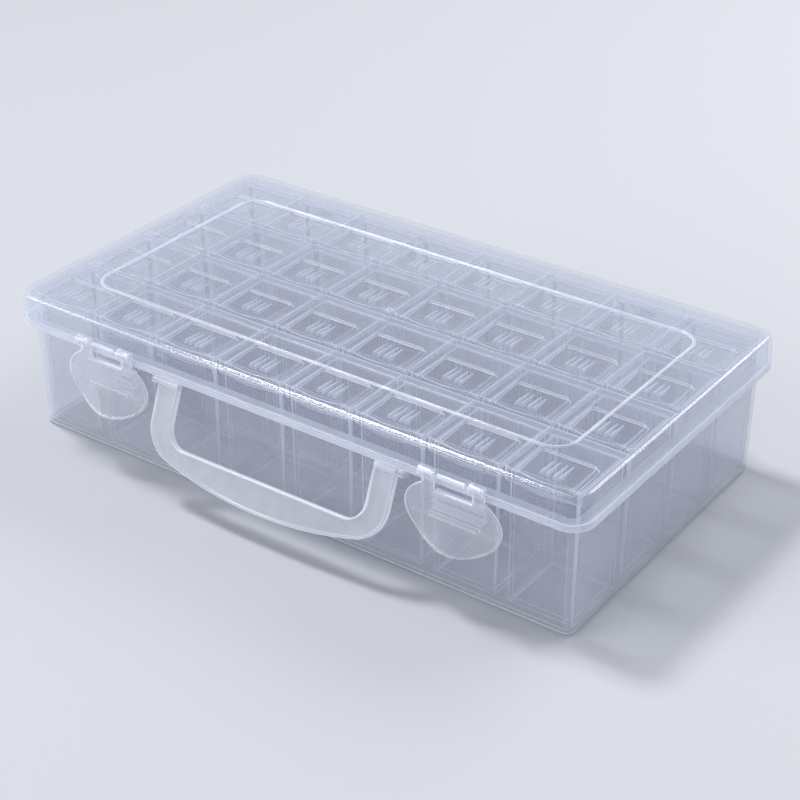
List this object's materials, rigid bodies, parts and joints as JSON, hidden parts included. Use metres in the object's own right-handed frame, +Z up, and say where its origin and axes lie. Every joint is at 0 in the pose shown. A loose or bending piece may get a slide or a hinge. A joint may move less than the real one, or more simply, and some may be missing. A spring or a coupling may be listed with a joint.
{
  "type": "compartment organizer box",
  "caption": "Clear plastic case with a hinged lid, front latches and a folding carry handle, filled with a grid of small boxes that each have a flip-up lid.",
  "frame": {"origin": "centre of the case base's flat underside", "axes": "+X along the long side, to the right when seen from the latches; +Y from the latches to the back hinges; +Z up"},
  "size_m": [0.2142, 0.1339, 0.0501],
  "materials": {
    "case_base": "glossy translucent",
    "case_lid": "glossy translucent",
    "latch": "satin translucent",
    "handle": "satin translucent",
    "small_box": "satin translucent",
    "small_lid": "satin translucent"
  },
  "bodies": {
    "tub": {"case_base": "case_base", "box_pair_1_1": "small_box", "box_pair_1_2": "small_box", "box_pair_2_1": "small_box", "box_pair_2_2": "small_box", "box_pair_3_1": "small_box", "box_pair_3_2": "small_box", "box_pair_4_1": "small_box", "box_pair_4_2": "small_box", "box_pair_5_1": "small_box", "box_pair_5_2": "small_box", "box_pair_6_1": "small_box", "box_pair_6_2": "small_box", "box_pair_7_1": "small_box", "box_pair_7_2": "small_box", "box_pair_8_1": "small_box", "box_pair_8_2": "small_box"},
    "lid": {"case_lid": "case_lid"},
    "left_latch": {"latch_left": "latch"},
    "right_latch": {"latch_right": "latch"},
    "handle": {"carry_handle": "handle"},
    "flap_1_1": {"small_lid_1_1": "small_lid"},
    "flap_1_2": {"small_lid_1_2": "small_lid"},
    "flap_1_3": {"small_lid_1_3": "small_lid"},
    "flap_1_4": {"small_lid_1_4": "small_lid"},
    "flap_2_1": {"small_lid_2_1": "small_lid"},
    "flap_2_2": {"small_lid_2_2": "small_lid"},
    "flap_2_3": {"small_lid_2_3": "small_lid"},
    "flap_2_4": {"small_lid_2_4": "small_lid"},
    "flap_3_1": {"small_lid_3_1": "small_lid"},
    "flap_3_2": {"small_lid_3_2": "small_lid"},
    "flap_3_3": {"small_lid_3_3": "small_lid"},
    "flap_3_4": {"small_lid_3_4": "small_lid"},
    "flap_4_1": {"small_lid_4_1": "small_lid"},
    "flap_4_2": {"small_lid_4_2": "small_lid"},
    "flap_4_3": {"small_lid_4_3": "small_lid"},
    "flap_4_4": {"small_lid_4_4": "small_lid"},
    "flap_5_1": {"small_lid_5_1": "small_lid"},
    "flap_5_2": {"small_lid_5_2": "small_lid"},
    "flap_5_3": {"small_lid_5_3": "small_lid"},
    "flap_5_4": {"small_lid_5_4": "small_lid"},
    "flap_6_1": {"small_lid_6_1": "small_lid"},
    "flap_6_2": {"small_lid_6_2": "small_lid"},
    "flap_6_3": {"small_lid_6_3": "small_lid"},
    "flap_6_4": {"small_lid_6_4": "small_lid"},
    "flap_7_1": {"small_lid_7_1": "small_lid"},
    "flap_7_2": {"small_lid_7_2": "small_lid"},
    "flap_7_3": {"small_lid_7_3": "small_lid"},
    "flap_7_4": {"small_lid_7_4": "small_lid"},
    "flap_8_1": {"small_lid_8_1": "small_lid"},
    "flap_8_2": {"small_lid_8_2": "small_lid"},
    "flap_8_3": {"small_lid_8_3": "small_lid"},
    "flap_8_4": {"small_lid_8_4": "small_lid"}
  },
  "joints": [
    {"name": "case_lid_hinge", "type": "hinge", "parent": "tub", "child": "lid", "pos_m": [0, 0.06195, 0.04135], "axis": [-1, 0, 0], "range_deg": [0, 180]},
    {"name": "latch_left_hinge", "type": "hinge", "parent": "lid", "child": "left_latch", "pos_m": [-0.0659, -0.06185, 0.0424], "axis": [-1, 0, 0], "range_deg": [0, 150]},
    {"name": "latch_right_hinge", "type": "hinge", "parent": "lid", "child": "right_latch", "pos_m": [0.0659, -0.06185, 0.0424], "axis": [-1, 0, 0], "range_deg": [0, 150]},
    {"name": "handle_swing", "type": "hinge", "parent": "tub", "child": "handle", "pos_m": [0, -0.05845, 0.0362], "axis": [-1, 0, 0], "range_deg": [-22, 68]},
    {"name": "small_lid_1_1_hinge", "type": "hinge", "parent": "tub", "child": "flap_1_1", "pos_m": [-0.09065, -0.02915, 0.0468], "axis": [-1, 0, 0], "range_deg": [0, 100]},
    {"name": "small_lid_1_2_hinge", "type": "hinge", "parent": "tub", "child": "flap_1_2", "pos_m": [-0.09065, -0.00145, 0.0468], "axis": [-1, 0, 0], "range_deg": [0, 100]},
    {"name": "small_lid_1_3_hinge", "type": "hinge", "parent": "tub", "child": "flap_1_3", "pos_m": [-0.09065, 0.02625, 0.0468], "axis": [-1, 0, 0], "range_deg": [0, 100]},
    {"name": "small_lid_1_4_hinge", "type": "hinge", "parent": "tub", "child": "flap_1_4", "pos_m": [-0.09065, 0.05395, 0.0468], "axis": [-1, 0, 0], "range_deg": [0, 100]},
    {"name": "small_lid_2_1_hinge", "type": "hinge", "parent": "tub", "child": "flap_2_1", "pos_m": [-0.06475, -0.02915, 0.0468], "axis": [-1, 0, 0], "range_deg": [0, 100]},
    {"name": "small_lid_2_2_hinge", "type": "hinge", "parent": "tub", "child": "flap_2_2", "pos_m": [-0.06475, -0.00145, 0.0468], "axis": [-1, 0, 0], "range_deg": [0, 100]},
    {"name": "small_lid_2_3_hinge", "type": "hinge", "parent": "tub", "child": "flap_2_3", "pos_m": [-0.06475, 0.02625, 0.0468], "axis": [-1, 0, 0], "range_deg": [0, 100]},
    {"name": "small_lid_2_4_hinge", "type": "hinge", "parent": "tub", "child": "flap_2_4", "pos_m": [-0.06475, 0.05395, 0.0468], "axis": [-1, 0, 0], "range_deg": [0, 100]},
    {"name": "small_lid_3_1_hinge", "type": "hinge", "parent": "tub", "child": "flap_3_1", "pos_m": [-0.03885, -0.02915, 0.0468], "axis": [-1, 0, 0], "range_deg": [0, 100]},
    {"name": "small_lid_3_2_hinge", "type": "hinge", "parent": "tub", "child": "flap_3_2", "pos_m": [-0.03885, -0.00145, 0.0468], "axis": [-1, 0, 0], "range_deg": [0, 100]},
    {"name": "small_lid_3_3_hinge", "type": "hinge", "parent": "tub", "child": "flap_3_3", "pos_m": [-0.03885, 0.02625, 0.0468], "axis": [-1, 0, 0], "range_deg": [0, 100]},
    {"name": "small_lid_3_4_hinge", "type": "hinge", "parent": "tub", "child": "flap_3_4", "pos_m": [-0.03885, 0.05395, 0.0468], "axis": [-1, 0, 0], "range_deg": [0, 100]},
    {"name": "small_lid_4_1_hinge", "type": "hinge", "parent": "tub", "child": "flap_4_1", "pos_m": [-0.01295, -0.02915, 0.0468], "axis": [-1, 0, 0], "range_deg": [0, 100]},
    {"name": "small_lid_4_2_hinge", "type": "hinge", "parent": "tub", "child": "flap_4_2", "pos_m": [-0.01295, -0.00145, 0.0468], "axis": [-1, 0, 0], "range_deg": [0, 100]},
    {"name": "small_lid_4_3_hinge", "type": "hinge", "parent": "tub", "child": "flap_4_3", "pos_m": [-0.01295, 0.02625, 0.0468], "axis": [-1, 0, 0], "range_deg": [0, 100]},
    {"name": "small_lid_4_4_hinge", "type": "hinge", "parent": "tub", "child": "flap_4_4", "pos_m": [-0.01295, 0.05395, 0.0468], "axis": [-1, 0, 0], "range_deg": [0, 100]},
    {"name": "small_lid_5_1_hinge", "type": "hinge", "parent": "tub", "child": "flap_5_1", "pos_m": [0.01295, -0.02915, 0.0468], "axis": [-1, 0, 0], "range_deg": [0, 100]},
    {"name": "small_lid_5_2_hinge", "type": "hinge", "parent": "tub", "child": "flap_5_2", "pos_m": [0.01295, -0.00145, 0.0468], "axis": [-1, 0, 0], "range_deg": [0, 100]},
    {"name": "small_lid_5_3_hinge", "type": "hinge", "parent": "tub", "child": "flap_5_3", "pos_m": [0.01295, 0.02625, 0.0468], "axis": [-1, 0, 0], "range_deg": [0, 100]},
    {"name": "small_lid_5_4_hinge", "type": "hinge", "parent": "tub", "child": "flap_5_4", "pos_m": [0.01295, 0.05395, 0.0468], "axis": [-1, 0, 0], "range_deg": [0, 100]},
    {"name": "small_lid_6_1_hinge", "type": "hinge", "parent": "tub", "child": "flap_6_1", "pos_m": [0.03885, -0.02915, 0.0468], "axis": [-1, 0, 0], "range_deg": [0, 100]},
    {"name": "small_lid_6_2_hinge", "type": "hinge", "parent": "tub", "child": "flap_6_2", "pos_m": [0.03885, -0.00145, 0.0468], "axis": [-1, 0, 0], "range_deg": [0, 100]},
    {"name": "small_lid_6_3_hinge", "type": "hinge", "parent": "tub", "child": "flap_6_3", "pos_m": [0.03885, 0.02625, 0.0468], "axis": [-1, 0, 0], "range_deg": [0, 100]},
    {"name": "small_lid_6_4_hinge", "type": "hinge", "parent": "tub", "child": "flap_6_4", "pos_m": [0.03885, 0.05395, 0.0468], "axis": [-1, 0, 0], "range_deg": [0, 100]},
    {"name": "small_lid_7_1_hinge", "type": "hinge", "parent": "tub", "child": "flap_7_1", "pos_m": [0.06475, -0.02915, 0.0468], "axis": [-1, 0, 0], "range_deg": [0, 100]},
    {"name": "small_lid_7_2_hinge", "type": "hinge", "parent": "tub", "child": "flap_7_2", "pos_m": [0.06475, -0.00145, 0.0468], "axis": [-1, 0, 0], "range_deg": [0, 100]},
    {"name": "small_lid_7_3_hinge", "type": "hinge", "parent": "tub", "child": "flap_7_3", "pos_m": [0.06475, 0.02625, 0.0468], "axis": [-1, 0, 0], "range_deg": [0, 100]},
    {"name": "small_lid_7_4_hinge", "type": "hinge", "parent": "tub", "child": "flap_7_4", "pos_m": [0.06475, 0.05395, 0.0468], "axis": [-1, 0, 0], "range_deg": [0, 100]},
    {"name": "small_lid_8_1_hinge", "type": "hinge", "parent": "tub", "child": "flap_8_1", "pos_m": [0.09065, -0.02915, 0.0468], "axis": [-1, 0, 0], "range_deg": [0, 100]},
    {"name": "small_lid_8_2_hinge", "type": "hinge", "parent": "tub", "child": "flap_8_2", "pos_m": [0.09065, -0.00145, 0.0468], "axis": [-1, 0, 0], "range_deg": [0, 100]},
    {"name": "small_lid_8_3_hinge", "type": "hinge", "parent": "tub", "child": "flap_8_3", "pos_m": [0.09065, 0.02625, 0.0468], "axis": [-1, 0, 0], "range_deg": [0, 100]},
    {"name": "small_lid_8_4_hinge", "type": "hinge", "parent": "tub", "child": "flap_8_4", "pos_m": [0.09065, 0.05395, 0.0468], "axis": [-1, 0, 0], "range_deg": [0, 100]}
  ],
  "couplings": [
    {"joint": "small_lid_1_1_hinge", "follows": "case_lid_hinge", "ratio": 0.55},
    {"joint": "small_lid_1_2_hinge", "follows": "case_lid_hinge", "ratio": 0.55},
    {"joint": "small_lid_1_3_hinge", "follows": "case_lid_hinge", "ratio": 0.55},
    {"joint": "small_lid_1_4_hinge", "follows": "case_lid_hinge", "ratio": 0.55},
    {"joint": "small_lid_2_1_hinge", "follows": "case_lid_hinge", "ratio": 0.55},
    {"joint": "small_lid_2_2_hinge", "follows": "case_lid_hinge", "ratio": 0.55},
    {"joint": "small_lid_2_3_hinge", "follows": "case_lid_hinge", "ratio": 0.55},
    {"joint": "small_lid_2_4_hinge", "follows": "case_lid_hinge", "ratio": 0.55},
    {"joint": "small_lid_3_1_hinge", "follows": "case_lid_hinge", "ratio": 0.55},
    {"joint": "small_lid_3_2_hinge", "follows": "case_lid_hinge", "ratio": 0.55},
    {"joint": "small_lid_3_3_hinge", "follows": "case_lid_hinge", "ratio": 0.55},
    {"joint": "small_lid_3_4_hinge", "follows": "case_lid_hinge", "ratio": 0.55},
    {"joint": "small_lid_4_1_hinge", "follows": "case_lid_hinge", "ratio": 0.55},
    {"joint": "small_lid_4_2_hinge", "follows": "case_lid_hinge", "ratio": 0.55},
    {"joint": "small_lid_4_3_hinge", "follows": "case_lid_hinge", "ratio": 0.55},
    {"joint": "small_lid_4_4_hinge", "follows": "case_lid_hinge", "ratio": 0.55},
    {"joint": "small_lid_5_1_hinge", "follows": "case_lid_hinge", "ratio": 0.55},
    {"joint": "small_lid_5_2_hinge", "follows": "case_lid_hinge", "ratio": 0.55},
    {"joint": "small_lid_5_3_hinge", "follows": "case_lid_hinge", "ratio": 0.55},
    {"joint": "small_lid_5_4_hinge", "follows": "case_lid_hinge", "ratio": 0.55},
    {"joint": "small_lid_6_1_hinge", "follows": "case_lid_hinge", "ratio": 0.55},
    {"joint": "small_lid_6_2_hinge", "follows": "case_lid_hinge", "ratio": 0.55},
    {"joint": "small_lid_6_3_hinge", "follows": "case_lid_hinge", "ratio": 0.55},
    {"joint": "small_lid_6_4_hinge", "follows": "case_lid_hinge", "ratio": 0.55},
    {"joint": "small_lid_7_1_hinge", "follows": "case_lid_hinge", "ratio": 0.55},
    {"joint": "small_lid_7_2_hinge", "follows": "case_lid_hinge", "ratio": 0.55},
    {"joint": "small_lid_7_3_hinge", "follows": "case_lid_hinge", "ratio": 0.55},
    {"joint": "small_lid_7_4_hinge", "follows": "case_lid_hinge", "ratio": 0.55},
    {"joint": "small_lid_8_1_hinge", "follows": "case_lid_hinge", "ratio": 0.55},
    {"joint": "small_lid_8_2_hinge", "follows": "case_lid_hinge", "ratio": 0.55},
    {"joint": "small_lid_8_3_hinge", "follows": "case_lid_hinge", "ratio": 0.55},
    {"joint": "small_lid_8_4_hinge", "follows": "case_lid_hinge", "ratio": 0.55}
  ]
}
